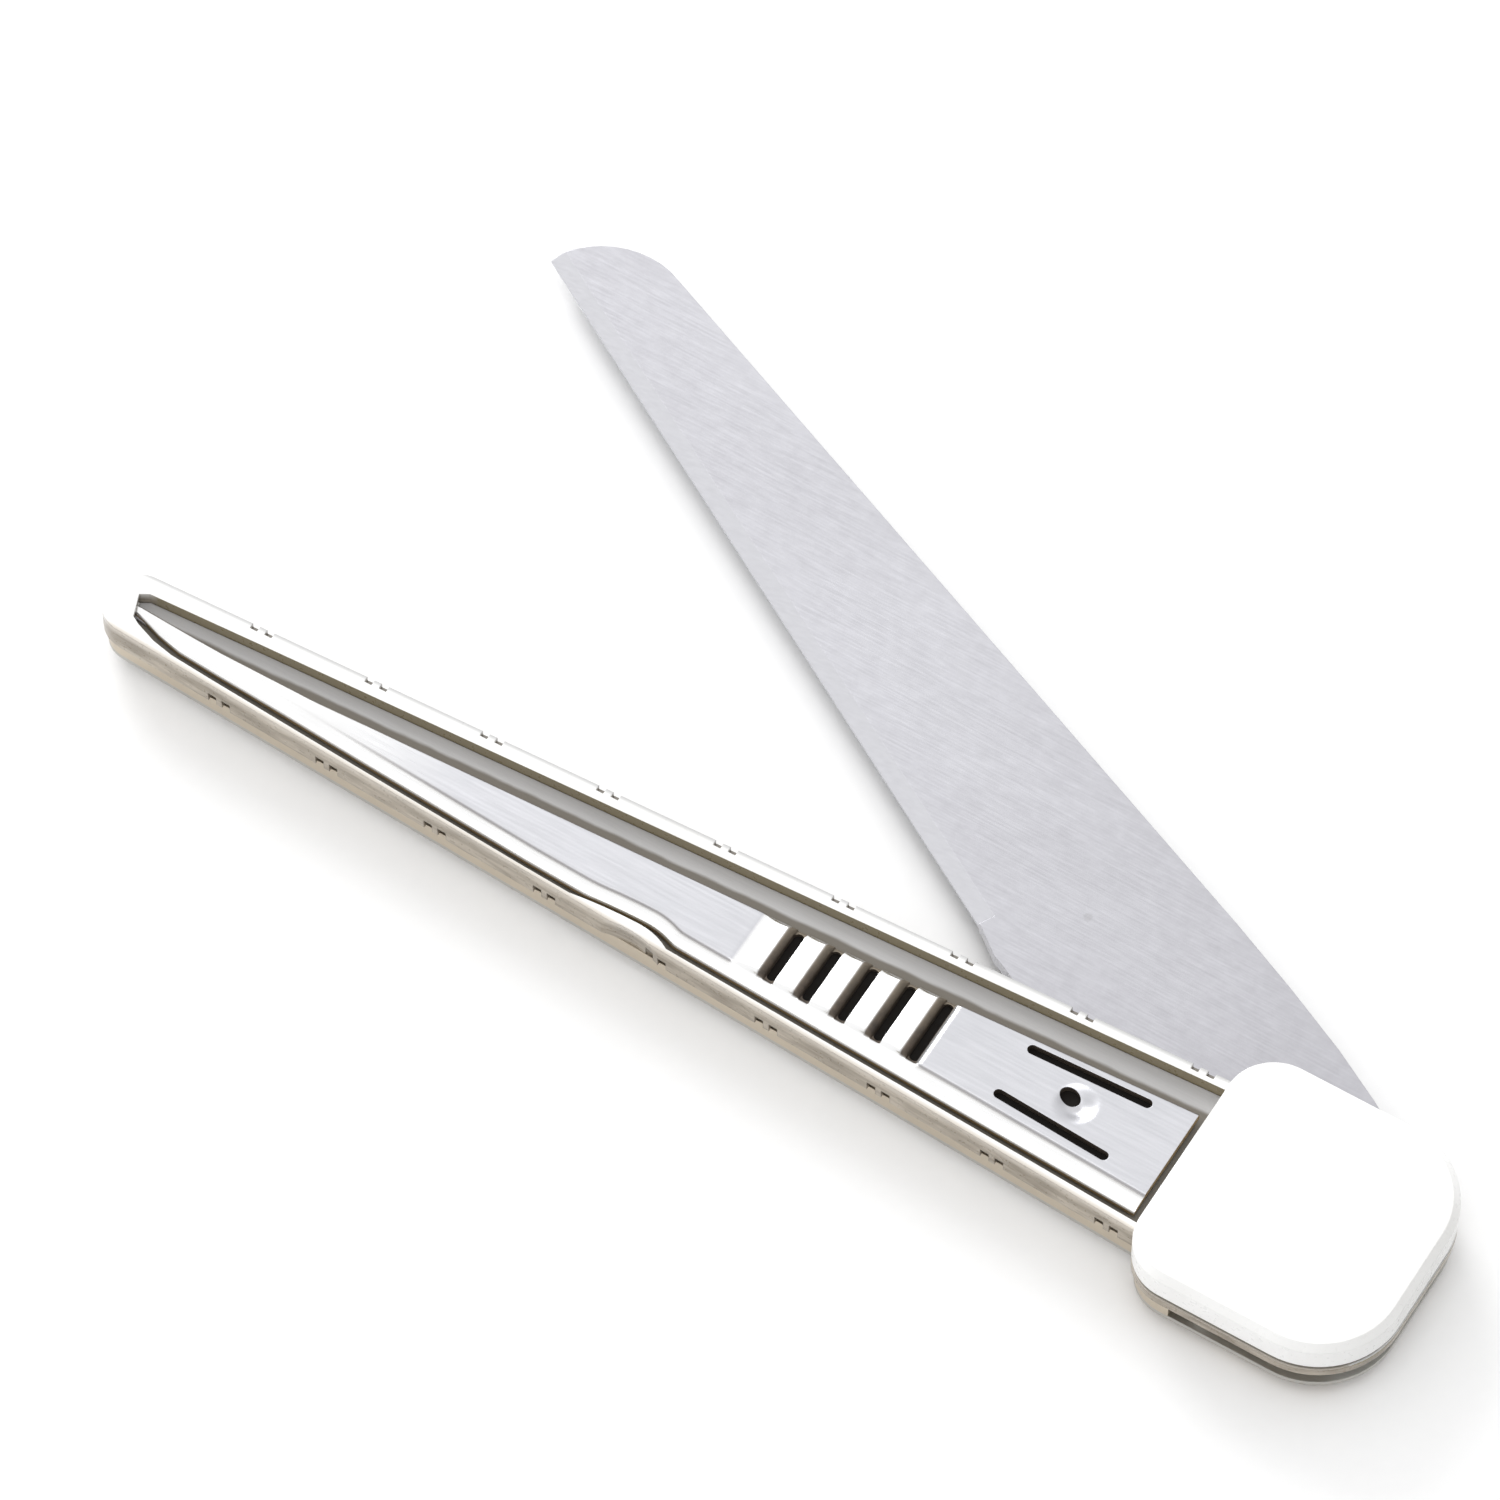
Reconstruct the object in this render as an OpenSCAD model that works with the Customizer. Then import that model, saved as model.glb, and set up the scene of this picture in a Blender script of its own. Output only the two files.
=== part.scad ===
// Folding utility knife with a thumb slide that pushes out a small scoring point.
// Origin on the blade pivot axis at the flat back face. Handle along -X, blade opens over +Y, front is +Z.
// The blade is drawn part way open, and the thumb slide at the back of its travel.

/* [Handle] */
// half width of the handle, run on to the pivot axis
handle_half = 7.3; // [6:0.05:9]
// narrowing of each side per mm of length
handle_taper = 0.0495; // [0.03:0.0005:0.07]
// pivot axis to the end of the nose
nose_reach = 97.8; // [90:0.1:110]
// top of the rims above the back face
rim_top = 5.5; // [5:0.05:7]

/* [Head] */
// pivot axis to the flat shoulder behind the thumb slide
head_left = 8.06; // [7:0.02:12]
// pivot axis to the tail end
head_right = 11; // [9:0.1:16]
// half width of the head
head_half = 9.9; // [9:0.05:12]
// corner radius at the shoulder
head_corner = 3.7; // [2:0.1:6]
// corner radius at the tail end
tail_corner = 6.5; // [3:0.1:9]
// top of the head cap above the back face
cap_top = 6.8; // [6:0.05:9]
// bevel around the front edge of the cap
cap_bevel = 0.5; // [0.2:0.05:1]

/* [Layers] */
// thickness of the moulded back cover
cover_t = 1.3; // [1:0.05:2]
// thickness of the steel back liner
liner_t = 0.4; // [0.3:0.05:0.8]
// height of the gap that the blade turns in
gap_h = 1.5; // [1.3:0.05:2]
// thickness of the web under the tray
web_t = 0.7; // [0.5:0.05:1]
// thickness of the steel tray floor
floor_t = 0.5; // [0.3:0.05:0.8]
// air between the tray floor and the slide panel
panel_lift = 0.35; // [0.3:0.05:0.6]
// thickness of the slide panel
panel_t = 0.5; // [0.4:0.05:0.8]
// slope of the back sides, sideways per mm of height
back_slope = 0.62; // [0.3:0.01:0.8]

/* [Blade] */
// blade thickness
blade_t = 1.1; // [0.8:0.05:1.3]
// how far the blade is drawn open
open_angle = 26.46; // [0:0.5:180]
// offset of the blade's middle line from the pivot
blade_offset = 2.8; // [2:0.05:4]
// half width of the blade, run on to the pivot axis
blade_half = 9.44; // [8:0.02:11]
// narrowing of each side of the blade per mm
blade_taper = 0.0633; // [0.04:0.0005:0.08]
// radius of the rounded blade end
tip_radius = 6.95; // [5:0.05:9]
// pivot axis to the centre of the rounded blade end
tip_centre = 90.1; // [80:0.1:100]
// width of the ground bevel on the cutting edge
bevel_w = 1.3; // [0.6:0.05:3]
// radius of the tang around the pivot
tang_radius = 7.2; // [6:0.05:8]

/* [Pivot] */
// radius of the pivot post
post_r = 2.5; // [2:0.05:3]
// running clearance between the post and the blade bore
run_gap = 0.05; // [0.02:0.01:0.09]
// radius of the pivot screw shank
screw_r = 1.4; // [1:0.05:1.8]
// radius of the pivot screw head
screw_head_r = 3.6; // [3:0.1:4]
// outer radius of the two washers
washer_r = 5.5; // [4:0.1:6]
// radius of the stop pin
stop_r = 0.9; // [0.7:0.05:1.2]

/* [Thumb slide] */
// number of thumb ribs
rib_count = 5; // [3:1:8]
// spacing of the thumb ribs
rib_pitch = 2.97; // [2.5:0.01:4]
// middle of the slot nearest the tail
rib_last = 28.4; // [24:0.1:34]
// width of the dark slot beside each rib
rib_slot_w = 1.2; // [0.8:0.05:1.6]
// width of each raised rib
rib_w = 1.7; // [1:0.05:1.75]
// height of each rib above the panel
rib_h = 0.45; // [0.3:0.05:0.8]
// width of the two bridge slots
bridge_slot_w = 0.75; // [0.5:0.05:1.2]
// full travel of the thumb slide towards the nose
slide_travel = 2; // [1:0.1:2.2]

/* [Hidden] */
$fn = 96;
eps = 0.02;
liner_z = cover_t;
gap_z = liner_z + liner_t;
blade_z = gap_z + (gap_h - blade_t) / 2;
frame_z = gap_z + gap_h;
floor_z = frame_z + web_t;
tray_z = floor_z + floor_t;
panel_z = tray_z + panel_lift;
panel_top = panel_z + panel_t;
panel_gap = 0.45;
tongue_top = panel_top - 0.2;
tongue_start = 90.6;
runner_x = -41;
keeper_x = -43;
keeper_len = 13.4;
washer_t = (gap_h - blade_t) / 2 - 0.02;
nose_r = (handle_half - handle_taper * nose_reach) / (1 - handle_taper);
nose_x = nose_r - nose_reach;
lower_inset = 0.25;
shell_end = 97.1;
pin_top = floor_z - 0.2;

// [all, back_cover, back_liner, front_frame, tray_floor, head_cap, blade, slide_panel, scoring_point]

// ---------- outlines ----------

// handle outline from the nose to x_end, drawn in by inset
module handle_outline(inset, x_end) {
    half = handle_half - inset;
    r = nose_r - inset;
    polygon([
        [nose_x, r],
        [nose_x, -r],
        [x_end, -half - handle_taper * x_end],
        [x_end, half + handle_taper * x_end]
    ]);
    translate([nose_x, 0]) circle(r = r);
}

// head outline, a rounded block drawn in by inset
module head_outline(inset) {
    a = head_corner - inset;
    b = tail_corner - inset;
    left = -head_left + inset;
    right = head_right - inset;
    top = head_half - inset;
    polygon([
        [left, -top + a], [left + a, -top], [right - b, -top], [right, -top + b],
        [right, top - b], [right - b, top], [left + a, top], [left, top - a]
    ]);
    for (s = [-1, 1]) {
        translate([left + a, s * (top - a)]) circle(r = a);
        translate([right - b, s * (top - b)]) circle(r = b);
    }
}

// both outlines together
module whole_outline(inset) {
    handle_outline(inset, 0);
    head_outline(inset);
}

// open tray inside the rims, drawn in by inset
module tray_outline(inset) {
    polygon([
        [-5, 6.25 - inset],
        [-85.7, 1.75 - inset],
        [-94.9, 1.2 - inset],
        [-95.6 + inset, 0.8 - inset],
        [-94.9 + inset, -1.0 + inset],
        [-94.2, -1.38 + inset],
        [-92.5, -2.0 + inset],
        [-90.7, -2.35 + inset],
        [-87, -2.6 + inset],
        [-75, -3.28 + inset],
        [-60, -4.08 + inset],
        [-5, -6.42 + inset]
    ]);
}

// arched finger notch, drawn in or out by extra: a long easy side and a short steep side
notch_x = -49.9;
notch_top = -3.4;
module notch_shape(extra) {
    steep_r = 5.6;
    easy_r = 39;
    translate([notch_x, notch_top - steep_r]) circle(r = steep_r + extra);
    intersection() {
        translate([notch_x, notch_top - easy_r]) circle(r = easy_r + extra, $fn = 360);
        translate([notch_x - 8, -12]) square([8, 12]);
    }
}

// stadium slot between two points
module slot(a, b, w) {
    d = b - a;
    len = norm(d);
    translate(a) rotate(atan2(d[1], d[0])) {
        translate([0, -w / 2]) square([len, w]);
        circle(d = w);
        translate([len, 0]) circle(d = w);
    }
}

// ---------- back half ----------

module tapered(h) {
    hull() {
        translate([0, 0, h - eps]) linear_extrude(eps) children(0);
        linear_extrude(eps) children(1);
    }
}

module back_cover() {
    top_in = lower_inset + liner_t * back_slope;
    low_in = top_in + cover_t * back_slope;
    color("ivory") difference() {
        union() {
            tapered(cover_t) {
                handle_outline(top_in, 0, $fn = 48);
                handle_outline(low_in, 0, $fn = 48);
            }
            tapered(cover_t) {
                head_outline(0.25, $fn = 48);
                head_outline(0.95, $fn = 48);
            }
        }
        translate([0, 0, -1]) cylinder(r = screw_head_r + 0.4, h = 1.5);
        cylinder(r = screw_head_r, h = 1.2);
        cylinder(r = post_r, h = 3);
        for (i = [0:2]) translate([cover_rivet_x(i), 0, -1]) cylinder(r = 0.8, h = 4);
        for (i = [0:2]) translate([cover_rivet_x(i), 0, -1]) cylinder(r = 1.5, h = 1.5);
    }
}

function cover_rivet_x(i) = -88 + 34 * i;

module back_liner() {
    color("silver") difference() {
        translate([0, 0, liner_z]) linear_extrude(liner_t) {
            handle_outline(lower_inset, 0);
            head_outline(0.25);
        }
        translate([0, 0, 0.5]) cylinder(r = post_r, h = 3);
        for (i = [0:2]) translate([cover_rivet_x(i), 0, 0]) cylinder(r = 0.8, h = 4);
        for (i = [0:2]) translate([spacer_pin_x(i), spacer_pin_y(i), 0]) cylinder(r = 0.3, h = 4);
        translate([stop_x, stop_y, 0]) cylinder(r = stop_r, h = 4);
    }
}

module cover_rivet(i) {
    color("gainsboro") translate([cover_rivet_x(i), 0, 0]) {
        cylinder(r = 1.5, h = 0.5);
        cylinder(r = 0.8, h = gap_z);
    }
}

// edge side of the shut blade at x, measured from the pivot
function shut_edge(x) = blade_offset - blade_half - blade_taper * x;
function shut_spine(x) = blade_offset + blade_half + blade_taper * x;

spacer_gap = 0.18;
module back_spacer() {
    color("darkkhaki") difference() {
        translate([0, 0, gap_z]) linear_extrude(gap_h) intersection() {
            union() {
                handle_outline(lower_inset, 0);
                head_outline(0.25);
            }
            polygon([
                [-100, -12],
                [-100, -2.6],
                [-nose_reach - 0.5, -0.62],
                [-shell_end + 1.4, shut_edge(-shell_end) - spacer_gap],
                [-31.9, shut_edge(-31.9) - spacer_gap],
                [-29.9, -5.3],
                [-12, -5.3],
                [-7.4, -6.4],
                [-5.4, -7.4],
                [-3.6, -8.2],
                [-3.6, -12]
            ]);
        }
        for (i = [0:2]) translate([spacer_pin_x(i), spacer_pin_y(i), 0]) cylinder(r = 0.3, h = 6);
    }
}

function spacer_pin_x(i) = [-92, -62, -5.5][i];
function spacer_pin_y(i) = [-1.75, -3.5, -8.4][i];

module spacer_pin(i) {
    color("silver") translate([spacer_pin_x(i), spacer_pin_y(i), liner_z])
        cylinder(r = 0.3, h = pin_top - liner_z);
}

// ---------- pivot ----------

stop_angle = 260;
stop_at = 8.35;
stop_x = stop_at * cos(stop_angle);
stop_y = stop_at * sin(stop_angle);
post_top = 5.6;

module pivot_cover_disc() {
    color("ivory") cylinder(r = screw_head_r + 0.4, h = 0.5);
}

module pivot_screw() {
    color("silver") difference() {
        union() {
            translate([0, 0, 0.5]) cylinder(r = screw_head_r, h = 0.7);
            translate([0, 0, 0.6]) cylinder(r = screw_r, h = 4.4);
        }
        translate([0, 0, 0.4]) cylinder(r = 1, h = 1.1, $fn = 6);
    }
}

module pivot_post() {
    color("silver") difference() {
        translate([0, 0, 1.2]) cylinder(r = post_r, h = post_top - 1.2);
        translate([0, 0, 1]) cylinder(r = screw_r, h = 4);
    }
}

module washer(z) {
    color("goldenrod") translate([0, 0, z]) difference() {
        cylinder(r = washer_r, h = washer_t);
        translate([0, 0, -1]) cylinder(r = post_r, h = 3);
    }
}

module stop_pin() {
    color("silver") translate([stop_x, stop_y, liner_z]) cylinder(r = stop_r, h = pin_top - liner_z);
}

// ---------- front half ----------

function cap_screw_x(i) = [-2, 5.5][i];
function cap_screw_y(i) = [6.4, -5.2][i];

// paired index notches along both rims
notch_pitch = 9.5;
notch_first = -86.3;
module index_notches() {
    for (i = [0:8], d = [-0.6, 0.6]) {
        x = notch_first + notch_pitch * i + d;
        y = handle_half + handle_taper * x;
        translate([x - 0.3, y - 0.45, rim_top - 0.45]) cube([0.6, 1, 1]);
        translate([x - 0.35, -y - 0.6, frame_z - 1]) cube([0.7, 1, 1.9]);
    }
}

module front_frame() {
    color("ivory") difference() {
        translate([0, 0, frame_z]) linear_extrude(rim_top - frame_z) whole_outline(0);
        translate([-head_left - 0.03, -20, floor_z]) cube([40, 40, 5]);
        translate([0, 0, floor_z]) linear_extrude(3) difference() {
            tray_outline(0);
            translate([-0.3, 0]) notch_shape(-panel_gap);
        }
        // tunnel for the tongue and the scoring point
        translate([-nose_reach - 1, -1.6, tray_z]) cube([5.4, 2.35, tongue_top + 0.08 - tray_z]);
        // finger scoop in the side, below the notch
        translate([-50.8, -12.4, frame_z + 0.4]) sphere(r = 8);
        // window that the keeper slides in
        translate([keeper_x - slide_travel - 1, -2.9, frame_z - 1])
            cube([keeper_len + slide_travel + 2, 5.8, 3]);
        cylinder(r = post_r, h = 9);
        for (i = [0:1]) translate([cap_screw_x(i), cap_screw_y(i), 0]) {
            cylinder(r = 0.8, h = 9);
            translate([0, 0, frame_z - 1]) cylinder(r = 1.5, h = 1.4);
        }
        for (i = [0:2]) translate([spacer_pin_x(i), spacer_pin_y(i), 0]) cylinder(r = 0.3, h = pin_top);
        translate([stop_x, stop_y, 0]) cylinder(r = stop_r, h = pin_top);
        index_notches();
    }
}

module tray_floor() {
    color("gray") difference() {
        translate([0, 0, floor_z]) linear_extrude(floor_t) {
            intersection() {
                difference() {
                    tray_outline(0.03);
                    translate([-0.3, 0]) notch_shape(0.03 - panel_gap);
                }
                translate([-120, -20]) square([120 - head_left + 1, 40]);
            }
            head_outline(0.15);
        }
        // slot that the runner slides in
        translate([0, 0, floor_z - 1]) linear_extrude(3)
            slot([runner_x - slide_travel - 0.5, -0.9], [runner_x + 10.5, -0.8], 3.4);
        cylinder(r = post_r, h = 9);
        for (i = [0:1]) translate([cap_screw_x(i), cap_screw_y(i), 0]) cylinder(r = 0.8, h = 9);
    }
}

module head_cap() {
    color("white") difference() {
        hull() {
            translate([0, 0, tray_z]) linear_extrude(cap_top - tray_z - cap_bevel)
                head_outline(0, $fn = 64);
            translate([0, 0, cap_top - eps]) linear_extrude(eps) head_outline(cap_bevel, $fn = 64);
        }
        cylinder(r = post_r, h = post_top);
        for (i = [0:1]) translate([cap_screw_x(i), cap_screw_y(i), 0]) cylinder(r = 0.8, h = post_top);
    }
}

module cap_screw(i) {
    color("silver") translate([cap_screw_x(i), cap_screw_y(i), frame_z]) difference() {
        union() {
            cylinder(r = 1.5, h = 0.4);
            cylinder(r = 0.8, h = post_top - frame_z);
        }
        translate([-0.15, -1, -1]) cube([0.3, 2, 1.2]);
    }
}

// ---------- blade ----------

edge_angle = atan(blade_taper);
module blade_shape() {
    tip = [for (a = [180:-8:100]) [-tip_centre + tip_radius * cos(a), -0.4 + tip_radius * sin(a)]];
    tang = [for (a = [84:-6:-132]) tang_radius * [cos(a), sin(a)]];
    polygon(concat(
        tip,
        [[-tip_centre, shut_spine(-tip_centre)],
         [-22, shut_spine(-22)],
         [-15.6, 11.12],
         [-9.7, 11.2],
         [-5, 11.0],
         [-2, 10.7],
         [0.5, 10.2],
         [0.5, 7.18]],
        tang,
        [[-5.09, -5.09],
         [-28.2, -5.1],
         [-28.9, -5.17],
         [-31.3, shut_edge(-31.3)]]
    ));
}

module edge_bevel() {
    // wedge cut along the straight cutting edge, from the heel to the tip
    translate([-31.8, shut_edge(-31.8), 0]) rotate([0, 0, -edge_angle])
        rotate([atan((blade_t / 2 - 0.08) / bevel_w), 0, 0])
            translate([-80, -4, 0]) cube([80, 4 + bevel_w / cos(20), 2]);
}

module blade() {
    color("lightsteelblue") rotate([0, 0, -open_angle]) difference() {
        translate([0, 0, blade_z]) linear_extrude(blade_t) blade_shape();
        translate([0, 0, blade_z + blade_t / 2 + 0.08]) edge_bevel();
        translate([0, 0, blade_z + blade_t / 2 - 0.08]) mirror([0, 0, 1]) edge_bevel();
        cylinder(r = post_r + run_gap, h = 9);
    }
}

// ---------- thumb slide ----------

// upper edge of the slide panel beside the ribs and on to the nose
function panel_upper(x) = 2.4 + 0.0481 * (x + 28);

// outline of the slide panel with its finger notch
module panel_outline() {
    difference() {
        polygon([
            [-8.85, 3.53], [-28, panel_upper(-28)], [-80, panel_upper(-80)], [-88, -0.05],
            [-92, 0.1], [-95.4, 0.25], [-96, 0.1], [-96, -0.3], [-95.4, -0.4], [-94.3, -0.65],
            [-92.5, -1.25], [-90.7, -1.65], [-87, -1.9], [-75, -2.58], [-60, -3.45],
            [-45, -4.03], [-8.85, -5.56]
        ]);
        notch_shape(0);
    }
}

// raised field inside the border strip
module field_outline() {
    difference() {
        polygon([
            [-9.2, 3.4], [-28, 2.28], [-79, -0.25], [-84, -0.7], [-60, -2.35], [-45, -2.9],
            [-24, -3.52], [-9.2, -4.1]
        ]);
        notch_shape(1.1);
    }
}

function rib_x(i) = -rib_last - rib_pitch * i;

module slide_panel() {
    color("gainsboro") difference() {
        union() {
            translate([0, 0, panel_z]) linear_extrude(panel_t) panel_outline();
            translate([0, 0, panel_top - eps]) linear_extrude(0.12 + eps) field_outline();
            for (i = [0:rib_count - 1]) rib(i);
        }
        for (i = [0:rib_count - 1]) rib_slot(i);
        translate([0, 0, panel_z - 1]) linear_extrude(3) {
            slot([-21.4, 1.92], [-12.4, 2.37], bridge_slot_w);
            slot([-21.6, -2.37], [-12.9, -2.82], bridge_slot_w);
        }
        // countersunk hole between the bridge slots
        translate([-16.9, -0.1, panel_z - 0.05]) cylinder(r1 = 0.8, r2 = 1.8, h = panel_t + 0.18);
        // thinner tongue that passes under the nose
        translate([-100, -4, tongue_top]) cube([100 - tongue_start, 8, 2]);
    }
}

module rib(i) {
    // half round bar lying across the panel
    r = (rib_w * rib_w / 4 + rib_h * rib_h) / (2 * rib_h);
    x = rib_x(i) - rib_slot_w / 2 - rib_w / 2;
    intersection() {
        translate([x, panel_upper(x) - 0.15, panel_top + rib_h - r]) rotate([90, 0, 0])
            cylinder(r = r, h = 4.9 - 0.15 * i);
        translate([x - rib_w / 2, -4, panel_top - 0.1]) cube([rib_w, 8, 2]);
    }
}

module rib_slot(i) {
    translate([0, 0, panel_z - 1]) linear_extrude(4)
        slot([rib_x(i), 1.5 - 0.15 * i], [rib_x(i), -2.5 + 0.08 * i], rib_slot_w);
}

module slide_runner() {
    color("dimgray") difference() {
        union() {
            translate([0, 0, tray_z + 0.02]) linear_extrude(panel_lift - 0.02)
                polygon([[-42.2, -3.3], [-11.5, -3.6], [-11.5, 3], [-42.2, 1.5]]);
            translate([runner_x, -2.0, floor_z - 0.1]) cube([9.4, 2.4, floor_t + 0.2]);
        }
        for (i = [0:1]) translate([stud_x(i), -0.8, 0]) cylinder(r = 0.6, h = 9);
    }
}

// studs stand under the middle of the first and third rib from the nose
function stud_x(i) = rib_x(rib_count - 2 - 2 * i) - rib_pitch / 2;

module slide_keeper() {
    color("silver") difference() {
        translate([keeper_x, -2.6, frame_z + 0.2]) cube([keeper_len, 4.9, 0.4]);
        for (i = [0:1]) translate([stud_x(i), -0.8, 0]) cylinder(r = 0.6, h = 9);
    }
}

module slide_stud(i) {
    color("silver") translate([stud_x(i), -0.8, frame_z + 0.2])
        cylinder(r = 0.6, h = panel_z - frame_z - 0.2);
}

module scoring_point() {
    color("lightsteelblue") translate([0, 0, panel_z - 0.3]) linear_extrude(0.3) polygon([
        [-80, -0.3], [-80, -1.9], [-93.6, -0.8], [-97.6, -0.3], [-93.6, 0.1], [-88, -0.15]
    ]);
}

// ---------- placed pieces ----------

back_cover();
back_liner();
back_spacer();
spacer_pin(0);  // spacer_pin_1
spacer_pin(1);  // spacer_pin_2
spacer_pin(2);  // spacer_pin_3
cover_rivet(0);  // cover_rivet_1
cover_rivet(1);  // cover_rivet_2
cover_rivet(2);  // cover_rivet_3
front_frame();
tray_floor();
head_cap();
cap_screw(0);  // cap_screw_upper
cap_screw(1);  // cap_screw_lower
pivot_post();
pivot_screw();
pivot_cover_disc();
washer(gap_z);  // back_washer
washer(frame_z - washer_t);  // front_washer
stop_pin();
blade();
slide_panel();
slide_runner();
slide_keeper();
slide_stud(0);  // slide_stud_nose
slide_stud(1);  // slide_stud_tail
scoring_point();
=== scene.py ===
# Folding utility knife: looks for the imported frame.
import math

import bmesh
import bpy
from mathutils import Matrix, Vector


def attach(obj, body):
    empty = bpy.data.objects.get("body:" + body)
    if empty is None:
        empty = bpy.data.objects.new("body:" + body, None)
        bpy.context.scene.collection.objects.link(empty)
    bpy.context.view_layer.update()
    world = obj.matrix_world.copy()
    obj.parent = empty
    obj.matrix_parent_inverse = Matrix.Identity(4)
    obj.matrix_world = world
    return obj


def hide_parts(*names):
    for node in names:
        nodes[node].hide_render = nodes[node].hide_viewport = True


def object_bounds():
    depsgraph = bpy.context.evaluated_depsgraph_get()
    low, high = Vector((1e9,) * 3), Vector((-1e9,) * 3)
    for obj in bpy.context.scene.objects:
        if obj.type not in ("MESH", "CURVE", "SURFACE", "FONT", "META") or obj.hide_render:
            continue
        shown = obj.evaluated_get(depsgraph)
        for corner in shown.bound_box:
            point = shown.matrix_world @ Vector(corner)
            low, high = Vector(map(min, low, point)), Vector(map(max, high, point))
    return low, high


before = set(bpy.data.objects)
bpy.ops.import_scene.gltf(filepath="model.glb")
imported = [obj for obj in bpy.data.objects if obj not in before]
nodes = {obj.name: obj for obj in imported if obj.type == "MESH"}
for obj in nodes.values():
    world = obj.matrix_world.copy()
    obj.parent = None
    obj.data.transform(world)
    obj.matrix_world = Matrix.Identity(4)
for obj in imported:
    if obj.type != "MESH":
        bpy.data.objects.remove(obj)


def numbers(pair):
    return [[float(v) for v in corner] for corner in pair]


cad_box = numbers(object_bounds())
MM = 0.001

# ---------- node helpers ----------


class Mat:
    """A material and short calls for its nodes."""

    def __init__(self, name):
        self.mat = bpy.data.materials.new(name)
        self.mat.use_nodes = True
        self.tree = self.mat.node_tree
        self.tree.nodes.clear()
        self.out = self.tree.nodes.new("ShaderNodeOutputMaterial")
        self.bsdf = self.tree.nodes.new("ShaderNodeBsdfPrincipled")
        self.link(self.bsdf.outputs[0], self.out.inputs[0])
        self.coord = self.tree.nodes.new("ShaderNodeTexCoord")

    def link(self, a, b):
        self.tree.links.new(a, b)

    def put(self, value, socket):
        if hasattr(value, "is_linked"):
            self.link(value, socket)
        else:
            socket.default_value = value

    def mapped(self, turn, scale):
        m = self.tree.nodes.new("ShaderNodeMapping")
        self.link(self.coord.outputs["Object"], m.inputs["Vector"])
        m.inputs["Rotation"].default_value = (0, 0, turn)
        m.inputs["Scale"].default_value = scale
        return m.outputs[0]

    def noise(self, vector, scale, detail=2.0, rough=0.5):
        n = self.tree.nodes.new("ShaderNodeTexNoise")
        self.link(vector, n.inputs["Vector"])
        n.inputs["Scale"].default_value = scale
        n.inputs["Detail"].default_value = detail
        n.inputs["Roughness"].default_value = rough
        return n.outputs["Fac"]

    def math(self, op, a, b=0.0, clamp=False):
        n = self.tree.nodes.new("ShaderNodeMath")
        n.operation = op
        n.use_clamp = clamp
        self.put(a, n.inputs[0])
        self.put(b, n.inputs[1])
        return n.outputs[0]

    def remap(self, value, low, high, to_low, to_high, smooth=False):
        n = self.tree.nodes.new("ShaderNodeMapRange")
        n.interpolation_type = "SMOOTHSTEP" if smooth else "LINEAR"
        self.put(value, n.inputs["Value"])
        n.inputs["From Min"].default_value = low
        n.inputs["From Max"].default_value = high
        n.inputs["To Min"].default_value = to_low
        n.inputs["To Max"].default_value = to_high
        return n.outputs["Result"]

    def mix(self, fac, a, b):
        n = self.tree.nodes.new("ShaderNodeMix")
        n.data_type = "RGBA"
        self.put(fac, n.inputs[0])
        self.put(a, n.inputs[6])
        self.put(b, n.inputs[7])
        return n.outputs[2]

    def axes(self, output="Object"):
        n = self.tree.nodes.new("ShaderNodeSeparateXYZ")
        self.link(self.coord.outputs[output], n.inputs[0])
        return n.outputs

    # Occlusion by nearby geometry, used to paint shade into creases, gaps and recesses.
    def crevice(self, reach):
        n = self.tree.nodes.new("ShaderNodeAmbientOcclusion")
        n.samples = 8
        n.inputs["Distance"].default_value = reach
        return self.math("SUBTRACT", 1.0, n.outputs["AO"], clamp=True)

    def normal(self, height, depth, strength=1.0, edge=0.00009):
        bevel = self.tree.nodes.new("ShaderNodeBevel")
        bevel.samples = 6
        bevel.inputs["Radius"].default_value = edge
        bump = self.tree.nodes.new("ShaderNodeBump")
        bump.inputs["Distance"].default_value = depth
        bump.inputs["Strength"].default_value = strength
        self.link(height, bump.inputs["Height"])
        self.link(bevel.outputs[0], bump.inputs["Normal"])
        self.link(bump.outputs[0], self.bsdf.inputs["Normal"])

    def set(self, **sockets):
        for name, value in sockets.items():
            self.put(value, self.bsdf.inputs[name.replace("_", " ")])


def rgb(r, g, b):
    return (r, g, b, 1.0)


# ---------- pressed slide ----------

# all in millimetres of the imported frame
SHEET_TOP = 5.25
SHEET_BOTTOM = 4.75
TONGUE_DROP = 0.2
UPPER = [(-8.85, 3.53), (-28, 2.4), (-80, -0.101), (-88, -0.05), (-92, 0.1), (-95.4, 0.25), (-96, 0.1)]
LOWER = [(-8.85, -5.56), (-45, -4.03), (-60, -3.45), (-75, -2.58), (-87, -1.9), (-90.7, -1.65),
         (-92.5, -1.25), (-94.3, -0.65), (-95.4, -0.4), (-96, -0.3)]
NOTCH_X = -49.9
NOTCH_TOP = -3.4
NOTCH_STEEP = 5.6
NOTCH_EASY = 39.0
FIELD_RISE = 0.1
RIBS = 5
PITCH = 2.97
LAST_SLOT = -28.4
SLOT_HALF = 0.6
VALLEY = -0.2
RIB_LOW = 0.14
RIB_HIGH = 0.44
CUT_LOW = 3.9
CUT_HIGH = 6.6
ROUND_STEPS = 14
SHARP = math.radians(38)
CUP = (-16.6, -0.25)
CUP_R = 1.75
CUP_DEPTH = 0.5
HOLE = (-17.3, 0.15)
HOLE_HALF = (0.78, 0.62)
UPPER_SLOT = ((-21.4, 1.92), (-12.4, 2.37))
LOWER_SLOT = ((-21.6, -2.37), (-12.9, -2.82))
SLOT_WIDTH = 0.75


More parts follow.
